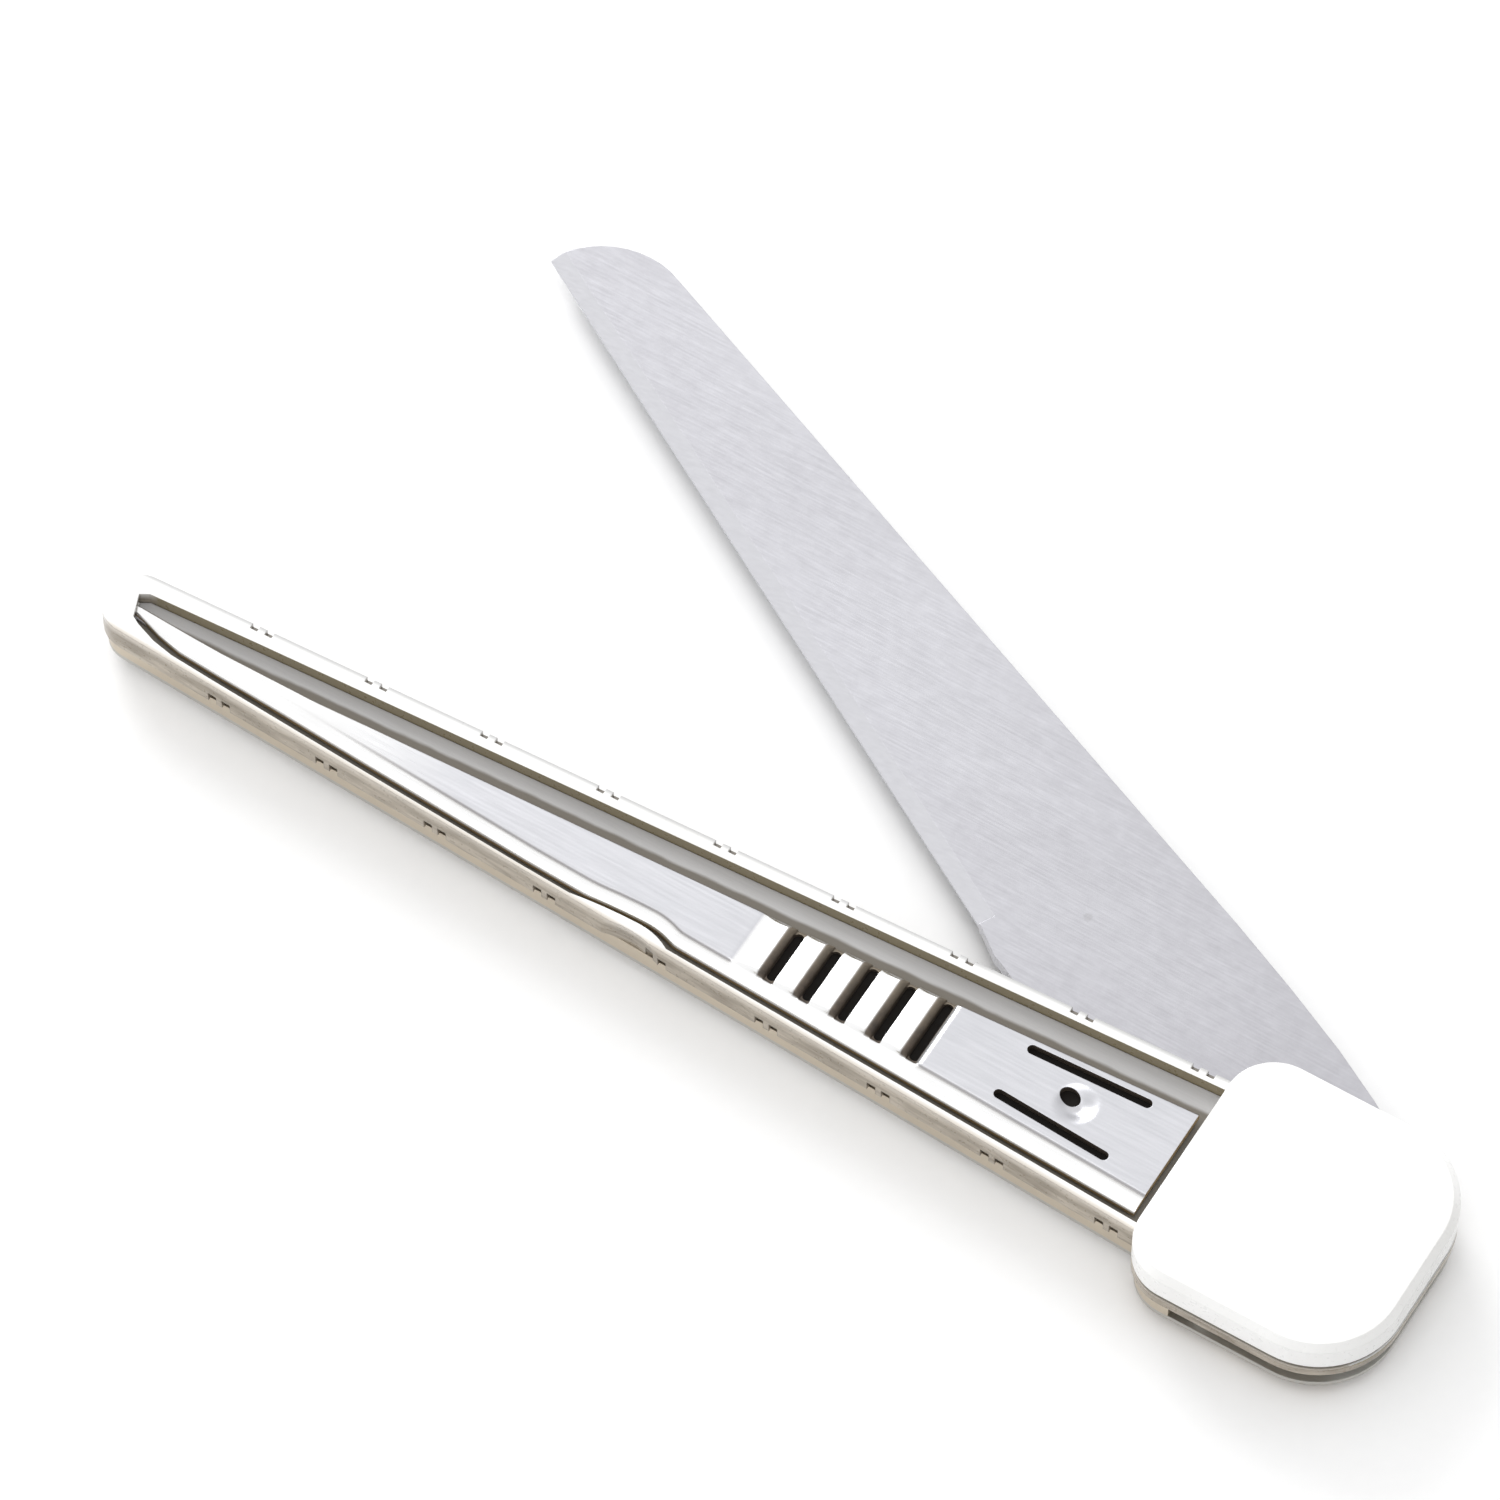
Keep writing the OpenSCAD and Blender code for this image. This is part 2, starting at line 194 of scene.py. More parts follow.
def ramp(a, b, t):
    t = min(1.0, max(0.0, (t - a) / (b - a)))
    return t * t * (3 - 2 * t)


def along(line, x):
    for (x1, y1), (x0, y0) in zip(line, line[1:]):
        if x >= x0:
            return y0 + (y1 - y0) * (x - x0) / (x1 - x0)
    return line[-1][1]


def lower_edge(x):
    base = along(LOWER, x)
    r = NOTCH_STEEP if x > NOTCH_X else NOTCH_EASY
    if abs(x - NOTCH_X) > 8 or abs(x - NOTCH_X) >= r:
        return base
    arch = NOTCH_TOP - r + math.sqrt(r * r - (x - NOTCH_X) ** 2)
    soft = 0.12
    return (base + arch + math.sqrt((base - arch) ** 2 + soft * soft)) / 2


def slot_x(i):
    return LAST_SLOT - PITCH * i


RIB_LEFT = slot_x(RIBS - 1) - SLOT_HALF - (PITCH - 2 * SLOT_HALF)
RIB_RIGHT = slot_x(0) + SLOT_HALF


def strip_width(x):
    return min(1.1 + 0.35 * ramp(-45, -24, x), 0.62 * (along(UPPER, x) - lower_edge(x)))


def from_slot(x):
    """Distance along the sheet from the slot of the rib at x."""
    i = round((slot_x(0) - x - PITCH / 2 + SLOT_HALF) / PITCH)
    return x - slot_x(min(RIBS - 1, max(0, i)))


def rib_profile(x):
    """Height of a rib cut across: it rises to the tail side, then rolls down into the slot."""
    u = from_slot(x)
    width = PITCH - 2 * SLOT_HALF
    crest = -SLOT_HALF - 0.15
    foot = -SLOT_HALF + 0.4
    if u <= crest:
        return RIB_LOW + (RIB_HIGH - RIB_LOW) * (u + SLOT_HALF + width) / (width - 0.15)
    if u <= foot:
        t = (u - crest) / (foot - crest)
        return VALLEY + (RIB_HIGH - VALLEY) * math.sqrt(max(0.0, 1 - t * t))
    return VALLEY if u < SLOT_HALF else RIB_LOW


def sheet_height(x, s, width):
    """Height over the flat sheet at x, at a distance s from the lower edge."""
    strip = strip_width(x)
    inside = ramp(strip, strip * 1.1, s)
    to_top = width - s
    nose_field = ramp(RIB_LEFT - 0.2, RIB_LEFT - 0.8, x)
    tail_field = ramp(RIB_RIGHT + 0.05, RIB_RIGHT + 0.45, x)
    field_end = min(nose_field + tail_field, 1.0)
    pointed = ramp(-86.0, -74.0, x)
    h = FIELD_RISE * inside * field_end * pointed
    h -= 0.14 * max(0.0, 1 - s / strip) * pointed
    h -= 0.06 * math.exp(-((s - strip) / 0.1) ** 2) * field_end * pointed
    if RIB_LEFT - 0.35 < x < RIB_RIGHT + 0.04:
        rise = ramp(RIB_LEFT - 0.35, RIB_LEFT, x)
        top_round = ramp(0.0, 0.5, to_top)
        rib = rib_profile(x)
        if rib > 0:
            rib *= top_round
        h += rib * rise * ramp(strip - 0.05, strip + 0.3, s)
    r = math.hypot(x - CUP[0], along(LOWER, x) + s - CUP[1])
    if r < CUP_R:
        h -= CUP_DEPTH * (1 - ramp(0.3, CUP_R, r))
    h -= 0.12 * ramp(0.14, 0.0, s) + 0.12 * ramp(0.14, 0.0, to_top)
    return h - TONGUE_DROP * ramp(-80.0, -90.9, x)


def spaced(a, b, step):
    n = max(1, round((b - a) / step))
    return [a + (b - a) * k / n for k in range(n)]


def sheet_columns():
    xs = [-96.0, -95.7, -95.4, -94.8, -94.2, -93.8, -93.2, -92.6, -92.0, -91.6]
    xs += spaced(-91.2, -88.0, 0.6) + spaced(-88.0, -57.5, 1.2) + spaced(-57.5, -46.0, 0.25)
    xs += spaced(-46.0, RIB_LEFT - 0.9, 0.8) + spaced(RIB_LEFT - 0.9, RIB_LEFT, 0.1)
    steps = [0.0, 0.06, 0.35, 0.7, 1.05, 1.3, 1.45, 1.55, 1.62, 1.7]
    steps += [1.78, 1.86, 1.94, 2.02, 2.08, 2.13, 2.17, 2.3, 2.6, 2.9]
    for i in reversed(range(RIBS)):
        left = slot_x(i) + SLOT_HALF - PITCH
        xs += [left + d for d in steps]
    xs += [RIB_RIGHT] + spaced(RIB_RIGHT + 0.03, RIB_RIGHT + 0.6, 0.08) + spaced(RIB_RIGHT + 0.6, -18.8, 0.9)
    xs += spaced(-18.8, -14.4, 0.14) + spaced(-14.4, -8.85, 0.9) + [-8.85]
    return xs


STRIP_ROWS = (0.0, 0.035, 0.07, 0.1, 0.3, 0.55, 0.8, 0.92, 0.96, 1.0, 1.04, 1.08, 1.12, 1.2)
FIELD_ROWS = 46


def sheet_rows(x):
    width = along(UPPER, x) - lower_edge(x)
    strip = strip_width(x)
    rows = [k * strip for k in STRIP_ROWS]
    edge = min(0.5, 0.3 * (width - rows[-1]))
    last = width - edge
    rows += [rows[-1] + (last - rows[-1]) * (k + 1) / FIELD_ROWS for k in range(FIELD_ROWS)]
    rows += [last + edge * f for f in (0.25, 0.5, 0.72, 0.84, 0.92, 1.0)]
    return rows, width


def build_sheet():
    """Top, bottom and rim of the pressed sheet on a grid that follows its edges."""
    bm = bmesh.new()
    tops = []
    bottoms = []
    for x in sheet_columns():
        rows, width = sheet_rows(x)
        y0 = lower_edge(x)
        top_line = []
        bottom_line = []
        for s in rows:
            z = SHEET_TOP + sheet_height(x, s, width)
            low = min(SHEET_BOTTOM, z - 0.3)
            top_line.append(bm.verts.new((x * MM, (y0 + s) * MM, z * MM)))
            bottom_line.append(bm.verts.new((x * MM, (y0 + s) * MM, low * MM)))
        tops.append(top_line)
        bottoms.append(bottom_line)
    for a in range(len(tops) - 1):
        for b in range(len(tops[0]) - 1):
            bm.faces.new((tops[a][b], tops[a + 1][b], tops[a + 1][b + 1], tops[a][b + 1]))
            bm.faces.new((bottoms[a][b], bottoms[a][b + 1], bottoms[a + 1][b + 1], bottoms[a + 1][b]))
    last = len(tops[0]) - 1
    for a in range(len(tops) - 1):
        bm.faces.new((bottoms[a][0], bottoms[a + 1][0], tops[a + 1][0], tops[a][0]))
        bm.faces.new((tops[a][last], tops[a + 1][last], bottoms[a + 1][last], bottoms[a][last]))
    for b in range(last):
        bm.faces.new((bottoms[0][b], tops[0][b], tops[0][b + 1], bottoms[0][b + 1]))
        bm.faces.new((bottoms[-1][b], bottoms[-1][b + 1], tops[-1][b + 1], tops[-1][b]))
    return bm


def prism(bm, outline):
    """Upright prism on an outline in millimetres, through the whole sheet."""
    bottom = [bm.verts.new((x * MM, y * MM, CUT_LOW * MM)) for x, y in outline]
    top = [bm.verts.new((x * MM, y * MM, CUT_HIGH * MM)) for x, y in outline]
    bm.faces.new(list(reversed(bottom)))
    bm.faces.new(top)
    n = len(outline)
    for k in range(n):
        bm.faces.new((bottom[k], bottom[(k + 1) % n], top[(k + 1) % n], top[k]))


def stadium(a, b, width):
    """Outline of a slot with round ends from a to b."""
    turn = math.atan2(b[1] - a[1], b[0] - a[0])
    r = width / 2
    ring = []
    for centre, start in ((b, turn - math.pi / 2), (a, turn + math.pi / 2)):
        for k in range(ROUND_STEPS + 1):
            angle = start + math.pi * k / ROUND_STEPS
            ring.append((centre[0] + r * math.cos(angle), centre[1] + r * math.sin(angle)))
    return ring


def build_cutters():
    bm = bmesh.new()
    for i in range(RIBS):
        x = slot_x(i) + 0.18
        r = SLOT_HALF - 0.18
        prism(bm, stadium((x, -3.08 + 0.08 * i + r), (x, 2.18 - 0.15 * i - r), 2 * r))
    for start, end in (UPPER_SLOT, LOWER_SLOT):
        prism(bm, stadium(start, end, SLOT_WIDTH))
    hole = [t * math.pi / 16 for t in range(32)]
    prism(bm, [(HOLE[0] + HOLE_HALF[0] * math.cos(t), HOLE[1] + HOLE_HALF[1] * math.sin(t)) for t in hole])
    return bm


def mesh_object(name, bm):
    bmesh.ops.recalc_face_normals(bm, faces=bm.faces)
    mesh = bpy.data.meshes.new(name)
    bm.to_mesh(mesh)
    bm.free()
    obj = bpy.data.objects.new(name, mesh)
    bpy.context.scene.collection.objects.link(obj)
    return obj


def soften(mesh):
    """Smooth shading with the folds over the angle kept sharp."""
    bm = bmesh.new()
    bm.from_mesh(mesh)
    for face in bm.faces:
        face.smooth = True
    for edge in bm.edges:
        if len(edge.link_faces) == 2 and edge.calc_face_angle(0.0) > SHARP:
            edge.smooth = False
    bm.to_mesh(mesh)
    bm.free()


def finish_and_light_at(x, y, z, wall):
    """Polish with its painted highlight, painted shade, paleness of that shade and the warm brown painted on
    the cut edge for the shaded gap, at a point of the sheet.
    """
    # Cut edges: full painted shade; outside the slotted zone they also get the warm brown that stands for
    # the shaded gap.
    if wall:
        inside = RIB_LEFT < x < -12.0 and lower_edge(x) + 0.4 < y < along(UPPER, x) - 0.15
        return 0.0, 1.0, 0.0, 0.0 if inside else 1.0
    s = y - lower_edge(x)
    width = along(UPPER, x) - lower_edge(x)
    strip = strip_width(x)
    ribs = ramp(RIB_LEFT - 0.6, RIB_LEFT - 0.4, x) * ramp(RIB_RIGHT + 0.25, RIB_RIGHT + 0.05, x)
    # Polish and painted highlight: the strip, the ribs and the nose end are polished and also painted near
    # white.
    on_strip = ramp(strip * 1.02, strip * 0.96, s)
    polish_and_highlight = max(on_strip, ribs, ramp(-66.0, -80.0, x))
    # Painted shade along the crease between the strip and the field.
    groove = 0.42 * math.exp(-((s - strip) / 0.17) ** 2) * (1 - ribs) * ramp(-84.0, -66.0, x)
    u = from_slot(x)
    # Painted shade on the flanks of the ribs that roll into the slots.
    lip = ribs * ramp(strip - 0.05, strip + 0.1, s) * ramp(-0.84, -0.64, u) * ramp(0.72, 0.6, u)
    pale = max(0.65 * ramp(0.3 * width, width, s) * lip, groove)
    # Painted shade along both edges of the sheet.
    rim = 0.9 * max(ramp(0.1, 0.0, s), ramp(0.16, 0.02, width - s))
    # Painted shade in the bottom of the dimple.
    cup = 0.8 * ramp(SHEET_TOP - 0.36, SHEET_TOP - 0.5, z)
    cup *= ramp(CUP_R, CUP_R - 0.5, math.hypot(x - CUP[0], y - CUP[1]))
    return polish_and_highlight, max(groove, lip, rim, cup), pale, 0.0


def mark_finish_and_light(mesh):
    """Store the polish, painted highlight and painted shade of the sheet on the corners of the mesh, for the
    material.
    """
    layer = mesh.attributes.new("finish_and_light", "FLOAT_COLOR", "CORNER")
    for face in mesh.polygons:
        points = [mesh.vertices[v].co / MM for v in face.vertices]
        wall = abs(face.normal.z) < 0.2 and min(p.z for p in points) < SHEET_BOTTOM + 0.08
        for loop, p in zip(face.loop_indices, points):
            layer.data[loop].color = finish_and_light_at(p.x, p.y, p.z, wall)


def pressed_slide():
    sheet = mesh_object("pressed_slide", build_sheet())
    cutters = mesh_object("slide_cutters", build_cutters())
    cut = sheet.modifiers.new("slots", "BOOLEAN")
    cut.operation = "DIFFERENCE"
    cut.solver = "EXACT"
    cut.object = cutters
    graph = bpy.context.evaluated_depsgraph_get()
    mesh = bpy.data.meshes.new_from_object(sheet.evaluated_get(graph))
    sheet.modifiers.clear()
    sheet.data = mesh
    bpy.data.objects.remove(cutters)
    soften(mesh)
    mark_finish_and_light(mesh)
    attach(sheet, "thumb_slide")
    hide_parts("slide_panel")
    return sheet


slide = pressed_slide()

# ---------- materials ----------

# the first three colours are painted shade, in creases, gaps and slots and on the tray floor; then lengths
# in millimetres, half widths at the pivot, tapers per millimetre of x
OLIVE = rgb(0.060, 0.052, 0.034)
BROWN = rgb(0.052, 0.036, 0.022)
FLOOR_SHADE = rgb(0.11, 0.088, 0.052)
OPEN = math.radians(-26.46)
SPOT = (-24.2, 14.5)
SPOT_R = 0.35
HANDLE_HALF = 7.3
HANDLE_TAPER = 0.0495
TRAY_HALF = 6.95
TRAY_TAPER = 0.0515
PANEL_HALF = 3.75
PANEL_TAPER = 0.0481
SEAM_Z = 4.42
PAIR_PITCH = 9.5
NOTCH_FIRST = -86.3
NOTCH_OFF = 0.6


def beside_panel(m):
    """Painted shade on the tray floor along the edge of the slide."""
    x, y, _ = m.axes()
    edge = m.math("ADD", m.math("MULTIPLY", x, PANEL_TAPER), PANEL_HALF * MM)
    ragged = m.remap(m.noise(m.mapped(0.0, (300, 900, 900)), 1.0, 3.0), 0.3, 0.7, -0.00006, 0.00006)
    off = m.math("ADD", m.math("SUBTRACT", y, edge), ragged)
    return m.remap(off, 0.00118, 0.00082, 0.0, 0.74, smooth=True)


def brushed(name, base, rough, turn, shade_colour, grain=1.0, reach=0.0006, amount=0.8, metal=1.0, shade_pattern=None):
    """Satin steel with a grain along one direction and painted shade in the crevices."""
    m = Mat(name)
    fine = m.noise(m.mapped(turn, (260, 9000, 9000)), 1.0, 3.0)
    cloud = m.noise(m.mapped(turn, (55, 90, 90)), 1.0, 3.0)
    shade = m.remap(fine, 0.3, 0.7, -0.05 * grain, 0.05 * grain)
    shade = m.math("ADD", shade, m.remap(cloud, 0.3, 0.7, -0.05, 0.05))
    dark = rgb(*(c * 0.72 for c in base))
    light = rgb(*(min(1.0, c * 1.1) for c in base))
    colour = m.mix(m.math("ADD", 0.72, m.math("MULTIPLY", shade, 2.4), clamp=True), dark, light)
    # Painted shade: occlusion in the crevices, plus any extra shade pattern given, darkens the colour.
    shade_mask = m.remap(m.crevice(reach), 0.35, 0.95, 0.0, amount, smooth=True)
    if shade_pattern:
        shade_mask = m.math("MAXIMUM", shade_mask, shade_pattern(m))
    colour = m.mix(shade_mask, colour, shade_colour)
    spread = m.math("ADD", m.remap(fine, 0.3, 0.7, -0.05, 0.07), m.math("MULTIPLY", shade_mask, 0.3))
    m.set(Metallic=metal, Base_Color=colour, Roughness=m.math("ADD", rough, spread, clamp=True))
    m.normal(fine, 0.000004 * grain, 0.6)
    return m


def sheet_steel(name):
    """Pressed sheet: satin field, polished strip and ribs with a painted highlight, painted shade in the
    folds, slots and gaps.
    """
    m = Mat(name)
    finish_and_light = m.tree.nodes.new("ShaderNodeAttribute")
    finish_and_light.attribute_name = "finish_and_light"
    parts = m.tree.nodes.new("ShaderNodeSeparateColor")
    m.link(finish_and_light.outputs["Color"], parts.inputs[0])
    polish_and_highlight, shade_mask, pale = parts.outputs
    fine = m.noise(m.mapped(0.0, (220, 5000, 5000)), 1.0, 3.0)
    mottle = m.noise(m.mapped(0.0, (500, 700, 700)), 1.0, 4.0, 0.6)
    cloud = m.noise(m.mapped(0.0, (40, 90, 90)), 1.0, 2.0)
    shade = m.math("ADD", m.remap(fine, 0.3, 0.7, -0.08, 0.08), m.remap(mottle, 0.3, 0.7, -0.15, 0.15))
    shade = m.math("ADD", shade, m.remap(cloud, 0.3, 0.7, -0.15, 0.15))
    field = m.mix(m.math("ADD", 0.5, shade, clamp=True), rgb(0.59, 0.595, 0.625), rgb(0.66, 0.66, 0.69))
    bright = m.mix(m.math("ADD", 0.5, shade, clamp=True), rgb(0.93, 0.93, 0.93), rgb(0.99, 0.99, 0.99))
    # Where polished, the sheet is also painted near white as a highlight.
    colour = m.mix(polish_and_highlight, field, bright)
    # Painted shade: mottled brown, paler where pale is set, laid on by the shade channel and by occlusion in
    # the folds.
    shade_pattern = m.noise(m.mapped(0.0, (700, 1500, 1500)), 1.0, 3.0)
    shade_tone = m.mix(m.remap(shade_pattern, 0.3, 0.7, 0.0, 1.0), BROWN, rgb(0.12, 0.085, 0.055))
    shade_tone = m.mix(m.math("MULTIPLY", pale, 0.75), shade_tone, rgb(0.26, 0.215, 0.15))
    close = m.remap(m.crevice(0.0004), 0.45, 0.95, 0.0, 0.7, smooth=True)
    fold_shade = m.math("MAXIMUM", m.math("MULTIPLY", shade_mask, 0.95), close)
    colour = m.mix(fold_shade, colour, shade_tone)
    # Warm brown painted on the outer cut edges for the shaded gap beside them.
    colour = m.mix(m.math("MULTIPLY", finish_and_light.outputs["Alpha"], 0.9), colour, rgb(0.40, 0.29, 0.15))
    rough = m.math("SUBTRACT", 0.34, m.math("MULTIPLY", polish_and_highlight, 0.14))
    rough = m.math("ADD", rough, m.remap(fine, 0.3, 0.7, -0.04, 0.05))
    m.set(Metallic=m.math("SUBTRACT", 1.0, m.math("MULTIPLY", fold_shade, 0.5)), Base_Color=colour)
    m.set(Roughness=m.math("ADD", rough, m.math("MULTIPLY", fold_shade, 0.3), clamp=True))
    m.normal(fine, 0.000003, 0.5, 0.00006)
    return m


def spotted(m, colour, x, y):
    """A faint dark spot on the blade."""
    dx = m.math("SUBTRACT", x, SPOT[0] * MM)
    dy = m.math("SUBTRACT", y, SPOT[1] * MM)
    r = m.math("SQRT", m.math("ADD", m.math("MULTIPLY", dx, dx), m.math("MULTIPLY", dy, dy)))
    spot = m.remap(r, SPOT_R * MM * 0.6, SPOT_R * MM * 1.3, 0.25, 0.0, smooth=True)
    return m.mix(spot, colour, rgb(0.3, 0.29, 0.29))


def blade_steel(name, turn, spot=False):
    """Ground satin steel, with painted shade darkening both ends and a painted highlight on the bevel."""
    m = Mat(name)
    fine = m.noise(m.mapped(turn, (300, 7000, 7000)), 1.0, 3.0)
    mottle = m.noise(m.mapped(0.0, (900, 900, 900)), 1.0, 4.0, 0.65)
    cloud = m.noise(m.mapped(turn, (30, 60, 60)), 1.0, 2.0)
    shade = m.math("ADD", m.remap(fine, 0.3, 0.7, -0.06, 0.06), m.remap(mottle, 0.3, 0.7, -0.16, 0.16))
    shade = m.math("ADD", shade, m.remap(cloud, 0.3, 0.7, -0.14, 0.14))
    x, y, _ = m.axes()
    # Painted shade: darker towards the pivot and towards the tip.
    shade = m.math("ADD", shade, m.remap(x, -0.05, 0.0, 0.05, -0.5))
    shade = m.math("ADD", shade, m.remap(x, -0.09, -0.06, -0.3, 0.0))
    colour = m.mix(m.math("ADD", 0.68, shade, clamp=True), rgb(0.47, 0.465, 0.495), rgb(0.62, 0.62, 0.655))
    # Painted highlight: the bevel and the other tilted faces of the blade made lighter.
    nz = m.axes("Normal")[2]
    colour = m.mix(m.remap(nz, 0.998, 0.985, 0.0, 1.0), colour, rgb(0.61, 0.61, 0.64))
    if spot:
        colour = spotted(m, colour, x, y)
    m.set(Metallic=1.0, Base_Color=colour)
    m.set(Roughness=m.math("ADD", 0.34, m.remap(fine, 0.3, 0.7, -0.05, 0.05)))
    m.normal(fine, 0.000003, 0.5, 0.00006)
    return m


def inside_of(m, x, y, half, taper):
    """Distance inwards from a tapered outline."""
    outline = m.math("ADD", m.math("MULTIPLY", x, taper), half * MM)
    return m.math("SUBTRACT", outline, m.math("ABSOLUTE", y))


def darker_rim_edges(m, colour, x, y, lower):
    """Outer edges of the rims made darker: grey on the upper rim, beige on the lower."""
    rim_edge = m.remap(inside_of(m, x, y, HANDLE_HALF, HANDLE_TAPER), 0.00042, 0.00004, 0.0, 1.0, smooth=True)
    rim_edge_colour = m.mix(lower, rgb(0.46, 0.46, 0.46), rgb(0.62, 0.55, 0.46))
    return m.mix(m.math("MULTIPLY", rim_edge, 0.75), colour, rim_edge_colour)


def beige_sides(m, colour, z, steep):
    """Streaky beige painted shade down the sides, stronger towards the bottom, with a darker seam."""
    streak = m.noise(m.mapped(0.0, (420, 420, 2600)), 1.0, 4.0, 0.6)
    patch = m.noise(m.mapped(0.0, (160, 160, 700)), 1.0, 2.0)
    streak = m.remap(streak, 0.35, 0.65, -0.1, 0.6)
    blend = m.math("ADD", streak, m.remap(patch, 0.35, 0.65, -0.1, 0.5), clamp=True)
    warm = m.mix(blend, rgb(0.20, 0.16, 0.11), rgb(0.47, 0.41, 0.33))
    off_seam = m.math("ABSOLUTE", m.math("SUBTRACT", z, SEAM_Z * MM))
    seam = m.remap(off_seam, 0.0003, 0.00005, 0.0, 0.55, smooth=True)
    warm = m.mix(seam, warm, rgb(0.20, 0.165, 0.115))
    # Painted shade grows towards the bottom of the sides.
    side = m.math("MULTIPLY", steep, m.remap(z, 0.00475, 0.0053, 0.94, 0.4))
    return m.mix(side, colour, warm)


def inside_tray(m, x, y, z):
    """1 on the inner walls of the tray, 0 outside."""
    inner = m.remap(inside_of(m, x, y, TRAY_HALF, TRAY_TAPER), 0.0, 0.0001, 0.0, 1.0)
    inner = m.math("MULTIPLY", inner, m.remap(x, -0.0950, -0.0942, 0.0, 1.0))
    return m.math("MULTIPLY", inner, m.remap(z, 0.0036, 0.0038, 0.0, 1.0))


def notch_shade(m, x, z, lower, inner):
    """Painted shade in the deep parts of the pairs of notches along both rims."""
    turned_x = m.math("ADD", x, (PAIR_PITCH / 2 - NOTCH_FIRST) * MM)
    pair = m.math("FLOORED_MODULO", turned_x, PAIR_PITCH * MM)
    pair = m.math("SUBTRACT", pair, PAIR_PITCH / 2 * MM)
    mark = m.math("ABSOLUTE", m.math("SUBTRACT", m.math("ABSOLUTE", pair), NOTCH_OFF * MM))
    below = m.math("MULTIPLY", lower, m.remap(z, 0.00425, 0.0041, 0.0, 1.0))
    above = m.math("SUBTRACT", m.remap(z, 0.0053, 0.0051, 0.0, 0.9), lower)
    deep = m.math("MAXIMUM", below, above)
    deep = m.math("MULTIPLY", deep, m.math("SUBTRACT", m.remap(z, 0.0028, 0.003, 0.0, 1.0), inner))
    deep = m.math("MULTIPLY", deep, m.remap(x, -0.0905, -0.0895, 0.0, 1.0))
    deep = m.math("MULTIPLY", deep, m.remap(x, -0.0082, -0.0086, 0.0, 1.0))
    deep = m.math("MULTIPLY", deep, m.math("MAXIMUM", lower, m.remap(z, 0.0048, 0.005, 0.0, 1.0)))
    return m.math("MULTIPLY", deep, m.remap(mark, 0.00041, 0.0003, 0.0, 0.85))


def side_shade(m, colour):
    """Painted shade down the sides, on the tray's inner walls and in the notches, with darker outer edges of
    the rims.
    """
    nz = m.axes("Normal")[2]
    x, y, z = m.axes()
    steep = m.remap(m.math("ABSOLUTE", nz), 0.75, 0.3, 0.0, 1.0, smooth=True)
    lower = m.remap(y, 0.0005, -0.0005, 0.0, 1.0)
    colour = darker_rim_edges(m, colour, x, y, lower)
    colour = beige_sides(m, colour, z, steep)
    inner = inside_tray(m, x, y, z)
    # Painted shade on the tray's inner walls.
    colour = m.mix(m.math("MULTIPLY", inner, steep), colour, rgb(0.25, 0.205, 0.115))
    # Painted shade in the notches.
    return m.mix(notch_shade(m, x, z, lower, inner), colour, rgb(0.11, 0.085, 0.055))


def ivory(name, sides=True):
    """White moulding, bright on the faces, with painted shade in its creases and, with sides, warm painted
    shade and darker rim edges down the sides.
    """
    m = Mat(name)
    skin = m.noise(m.mapped(0.0, (2600, 2600, 2600)), 1.0, 3.0)
    cloud = m.noise(m.mapped(0.0, (120, 160, 160)), 1.0, 3.0)
    colour = m.mix(m.remap(cloud, 0.3, 0.7, 0.0, 1.0), rgb(0.86, 0.855, 0.84), rgb(0.93, 0.93, 0.92))
    if sides:
        colour = side_shade(m, colour)
    # Painted shade in the creases, from occlusion.
    shade_mask = m.remap(m.crevice(0.0006), 0.45, 1.0, 0.0, 0.7, smooth=True)
    colour = m.mix(shade_mask, colour, rgb(0.13, 0.10, 0.06))
    m.set(Base_Color=colour, Metallic=0.0)
    m.set(Roughness=m.math("ADD", 0.30, m.remap(skin, 0.3, 0.7, -0.05, 0.08)))
    m.bsdf.inputs["Coat Weight"].default_value = 0.25
    m.bsdf.inputs["Coat Roughness"].default_value = 0.12
    m.normal(skin, 0.000006, 0.5, 0.00014)
    return m


def dark_plastic(name):
    """Nearly black moulding with a fine matt skin."""
    m = Mat(name)
    skin = m.noise(m.mapped(0.0, (3000, 3000, 3000)), 1.0, 3.0)
    colour = m.mix(skin, rgb(0.003, 0.0025, 0.002), rgb(0.012, 0.009, 0.007))
    m.set(Base_Color=colour, Metallic=0.0)
    m.set(Roughness=m.remap(skin, 0.3, 0.7, 0.65, 0.85))
    m.bsdf.inputs["Specular IOR Level"].default_value = 0.2
    m.normal(skin, 0.00001, 0.6)
    return m


looks = {
    "blade": blade_steel("satin_blade", -OPEN, spot=True),
    "slide_panel": sheet_steel("slide_sheet"),
    # The tray floor gets painted shade in its crevices and along the edge of the slide.
    "tray_floor": brushed("tray_sheet", (0.50, 0.495, 0.495), 0.6, 0.0, FLOOR_SHADE,
                          grain=0.9, reach=0.00022, amount=0.7, metal=0.3, shade_pattern=beside_panel),
    "back_liner": brushed("liner_sheet", (0.50, 0.49, 0.46), 0.38, 0.0, OLIVE),
    "back_spacer": brushed("spacer_edge", (0.60, 0.53, 0.43), 0.40, 0.0, OLIVE),
    "front_frame": ivory("frame_ivory"),
    "back_cover": ivory("cover_ivory"),
    "head_cap": ivory("cap_ivory", sides=False),
    "pivot_cover_disc": ivory("disc_ivory", sides=False),
    "slide_runner": dark_plastic("runner_plastic"),
    "scoring_point": blade_steel("point_steel", 0.0),
    "back_washer": brushed("washer_bronze", (0.62, 0.42, 0.20), 0.35, 0.4, OLIVE),
}
looks["front_washer"] = looks["back_washer"]
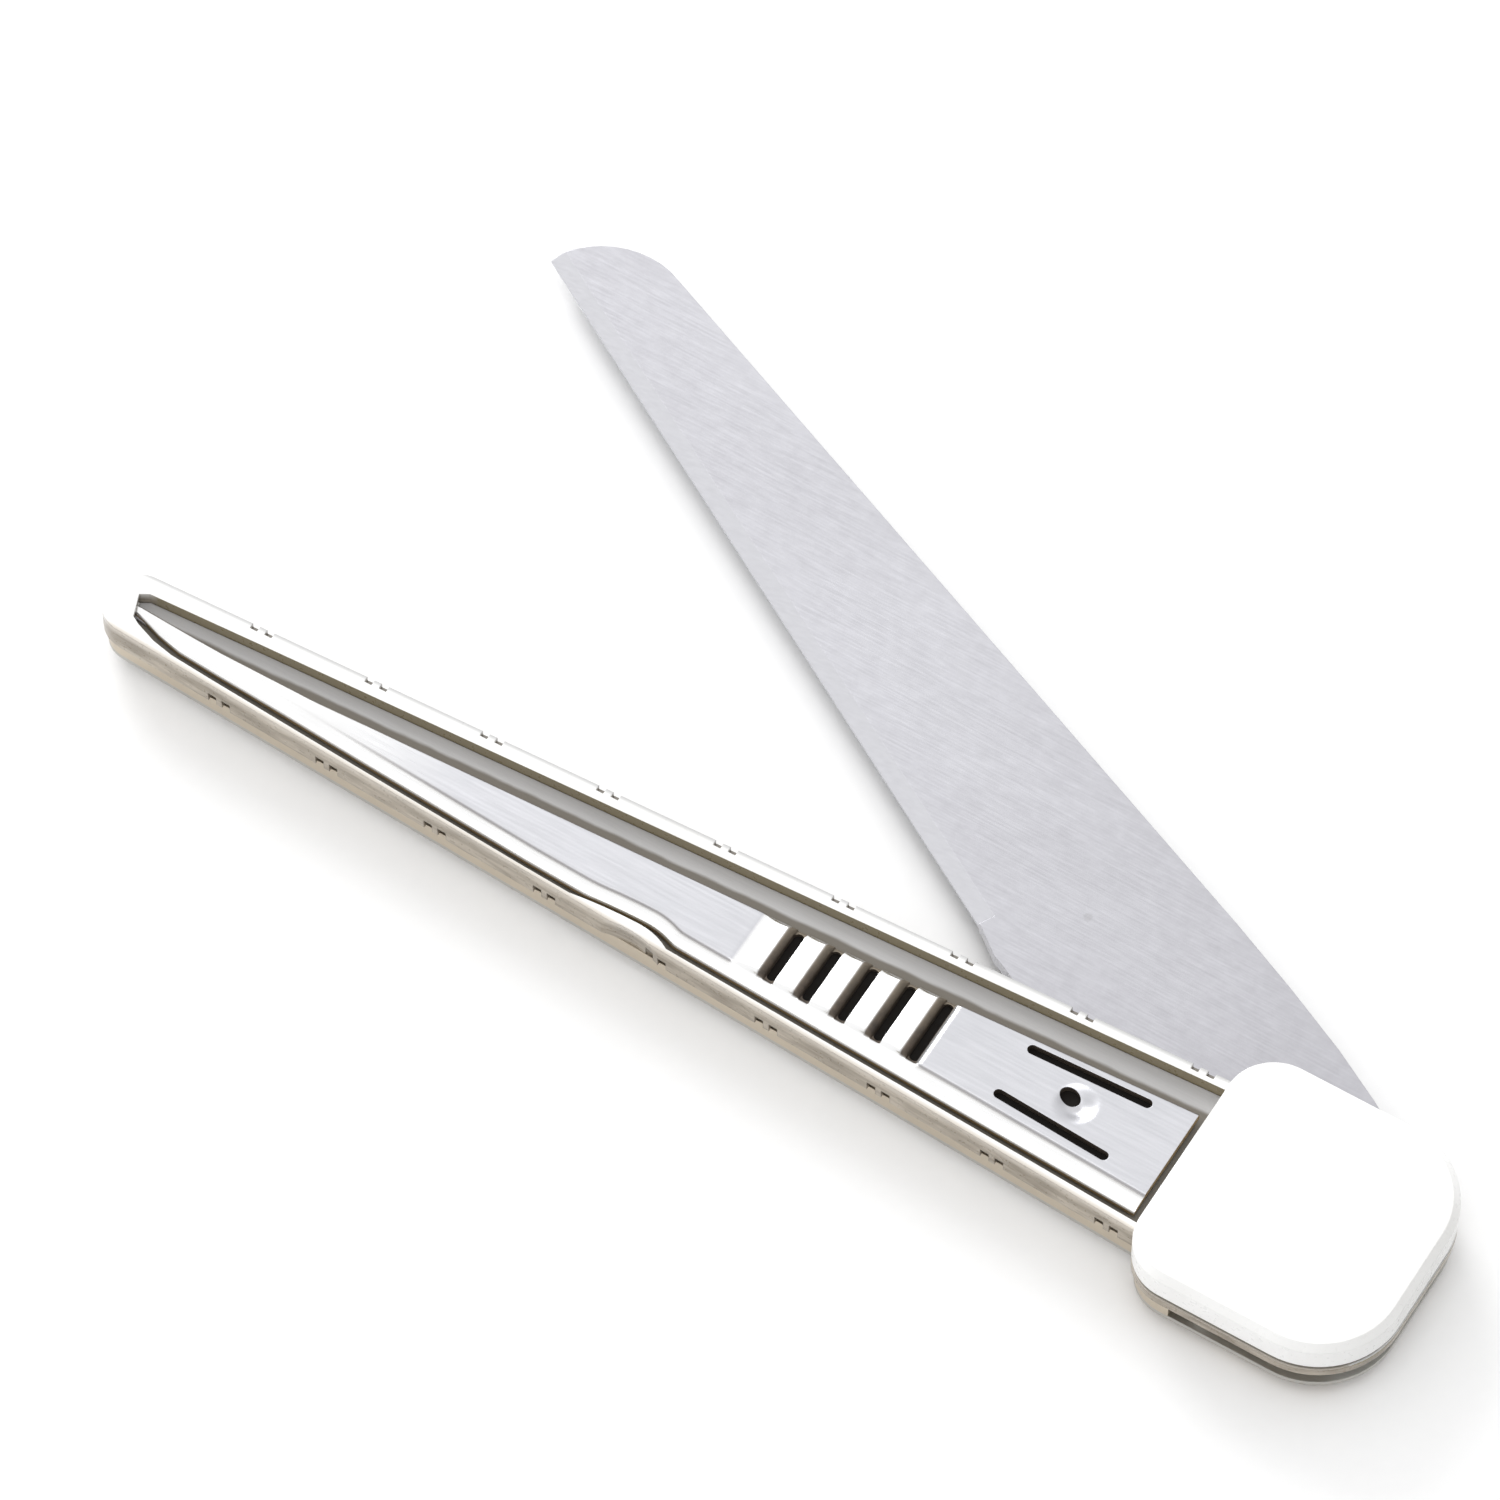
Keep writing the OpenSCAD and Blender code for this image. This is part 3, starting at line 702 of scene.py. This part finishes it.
turned = brushed("turned_steel", (0.62, 0.62, 0.61), 0.30, 0.7, OLIVE)
for name, obj in nodes.items():
    look = looks.get(name, turned)
    obj.data.materials.clear()
    obj.data.materials.append(look.mat)
slide.data.materials.clear()
slide.data.materials.append(looks["slide_panel"].mat)

# ---------- floor, light, camera ----------

FLOOR_HALF = 3.0
corners = [(FLOOR_HALF * i, FLOOR_HALF * j, 0) for i, j in ((-1, -1), (1, -1), (1, 1), (-1, 1))]
floor_mesh = bpy.data.meshes.new("floor")
floor_mesh.from_pydata(corners, [], [(0, 1, 2, 3)])
floor = bpy.data.objects.new("floor", floor_mesh)
floor.location.z = cad_box[0][2] - 0.00002
bpy.context.scene.collection.objects.link(floor)
paper = Mat("paper_floor")
grain = paper.noise(paper.mapped(0.0, (900, 900, 900)), 1.0, 2.0)
paper.set(Base_Color=paper.mix(grain, rgb(0.93, 0.93, 0.93), rgb(0.96, 0.96, 0.96)), Roughness=0.9)
paper.bsdf.inputs["Specular IOR Level"].default_value = 0.1
floor_mesh.materials.append(paper.mat)


def studio_world():
    """Even white surround that falls off to a darker side towards +X."""
    world = bpy.data.worlds.new("studio")
    bpy.context.scene.world = world
    world.use_nodes = True
    tree = world.node_tree
    back = tree.nodes["Background"]
    coord = tree.nodes.new("ShaderNodeTexCoord")
    axes = tree.nodes.new("ShaderNodeSeparateXYZ")
    tree.links.new(coord.outputs["Generated"], axes.inputs[0])
    fall = tree.nodes.new("ShaderNodeMapRange")
    fall.interpolation_type = "SMOOTHSTEP"
    fall.inputs["From Min"].default_value = 0.95
    fall.inputs["From Max"].default_value = 0.2
    fall.inputs["To Min"].default_value = 0.3
    fall.inputs["To Max"].default_value = 1.0
    tree.links.new(axes.outputs[0], fall.inputs["Value"])
    back.inputs[0].default_value = (1.0, 1.0, 1.0, 1.0)
    tree.links.new(fall.outputs["Result"], back.inputs[1])


studio_world()


def area(name, where, aim, size, power):
    """A round soft light that points at aim."""
    data = bpy.data.lights.new(name, "AREA")
    data.shape = "DISK"
    data.size = size
    data.energy = power
    obj = bpy.data.objects.new(name, data)
    obj.location = where
    obj.rotation_euler = (Vector(aim) - Vector(where)).to_track_quat("-Z", "Y").to_euler()
    bpy.context.scene.collection.objects.link(obj)


centre = (-0.045, 0.015, 0.0)
area("key", (-0.73, 0.51, 0.44), centre, 0.5, 3.8)
area("top", (0.0, -0.05, 1.1), centre, 0.5, 2.0)

AZIMUTH = math.radians(31.55)
ELEVATION = math.radians(58.0)
AIM = Vector((-52.25, 14.41, 2.0)) * MM
AWAY = 0.6411
level = math.cos(ELEVATION)
back = Vector((math.sin(AZIMUTH) * level, -math.cos(AZIMUTH) * level, math.sin(ELEVATION)))
right = Vector((math.cos(AZIMUTH), math.sin(AZIMUTH), 0.0))
up = back.cross(right)
data = bpy.data.cameras.new("camera")
data.sensor_width = 36.0
data.lens = 214.27
data.clip_start = 0.05
camera = bpy.data.objects.new("camera", data)
turn = Matrix((right, up, back)).transposed().to_4x4()
camera.matrix_world = Matrix.Translation(AIM + back * AWAY) @ turn
bpy.context.scene.collection.objects.link(camera)
bpy.context.scene.camera = camera

view = bpy.context.scene.view_settings
view.view_transform = "Standard"
view.look = "None"
